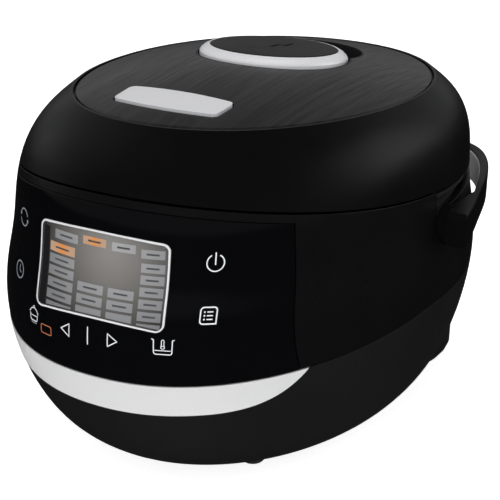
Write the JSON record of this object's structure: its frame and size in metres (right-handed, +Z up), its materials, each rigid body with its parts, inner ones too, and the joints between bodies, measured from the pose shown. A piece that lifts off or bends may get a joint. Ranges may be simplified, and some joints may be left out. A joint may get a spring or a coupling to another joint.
{
  "type": "multicooker",
  "caption": "Countertop electric multicooker: oval bowl body, sloping rear-hinged lid with steam valve and release button, front touch panel, folding carry handle.",
  "frame": {"origin": "under the middle of the whole outline, on the surface that the feet stand on", "axes": "+Z up, -Y towards the user (the control panel), +X to the user's right"},
  "size_m": [0.314, 0.4068, 0.2535],
  "materials": {
    "body_matte": "fine matte moulded",
    "body_gloss": "gloss black",
    "panel_gloss": "piano black",
    "trim_silver": "satin silver paint",
    "lcd": "warm grey liquid crystal display",
    "top_brushed": "dark brushed film",
    "lid_satin": "satin black",
    "handle_black": "satin black",
    "pad_grey": "soft grey",
    "inner_plastic": "moulded black",
    "pot_coating": "dark non-stick coating with fine speckle",
    "steel": "plain steel",
    "aluminium": "cast and machined",
    "rubber": "soft rubber",
    "silicone": "translucent grey silicone",
    "board": "green circuit board"
  },
  "bodies": {
    "base": {"lower_housing": "body_matte", "front_trim": "trim_silver", "upper_housing": "body_gloss", "control_panel": "panel_gloss", "display_frame": "trim_silver", "lcd_display": "lcd", "display_module": "inner_plastic", "control_board": "board", "buzzer": "inner_plastic", "rim_ring": "inner_plastic", "inner_chamber": "steel", "heating_plate": "aluminium", "heating_element": "steel", "plate_posts": "steel", "sensor_spring": "steel", "sensor_seat": "inner_plastic", "inner_pot": "pot_coating", "base_plate": "body_matte", "base_screws": "steel", "front_feet": "rubber", "rear_feet": "rubber", "rear_cover": "body_matte", "power_inlet": "inner_plastic", "inlet_pins": "aluminium", "power_board": "board", "hinge_bracket": "body_matte", "hinge_pin": "steel", "hinge_spring": "steel", "latch_catch": "steel", "handle_pin_right": "steel", "handle_pin_left": "steel"},
    "lid": {"lid_shell": "lid_satin", "top_panel": "top_brushed", "valve_well": "inner_plastic", "lid_liner": "inner_plastic", "inner_lid": "aluminium", "lid_gasket": "silicone", "lid_sensor": "steel", "lid_screws": "steel", "latch_guides": "inner_plastic", "button_spring": "steel"},
    "button": {"release_button": "trim_silver"},
    "latch": {"latch_slider": "inner_plastic"},
    "steam_valve": {"valve_ring": "trim_silver", "valve_cap": "lid_satin", "valve_chamber": "inner_plastic"},
    "handle": {"carry_handle": "handle_black", "handle_pad": "pad_grey"},
    "sensor": {"bottom_sensor": "aluminium"}
  },
  "joints": [
    {"name": "lid_hinge", "type": "hinge", "parent": "base", "child": "lid", "pos_m": [0, 0.182, 0.163], "axis": [-1, 0, 0], "range_deg": [0, 85]},
    {"name": "handle_swing", "type": "hinge", "parent": "base", "child": "handle", "pos_m": [0, 0.009, 0.15], "axis": [1, 0, 0], "range_deg": [0, 95]},
    {"name": "button_press", "type": "slide", "parent": "lid", "child": "button", "axis": [0, 0, -1], "range_m": [0, 0.0025], "stiffness_N_per_m": 1200, "springref_m": -0.002, "deforming": ["button_spring"]},
    {"name": "latch_slide", "type": "slide", "parent": "lid", "child": "latch", "axis": [0, 1, 0], "range_m": [0, 0.004]},
    {"name": "valve_lift", "type": "slide", "parent": "lid", "child": "steam_valve", "axis": [0, 0, 1], "range_m": [0, 0.08]},
    {"name": "sensor_press", "type": "slide", "parent": "base", "child": "sensor", "axis": [0, 0, -1], "range_m": [0, 0.003], "stiffness_N_per_m": 800, "springref_m": -0.003, "deforming": ["sensor_spring"]}
  ],
  "couplings": [
    {"joint": "latch_slide", "follows": "button_press", "ratio": 1.6}
  ]
}
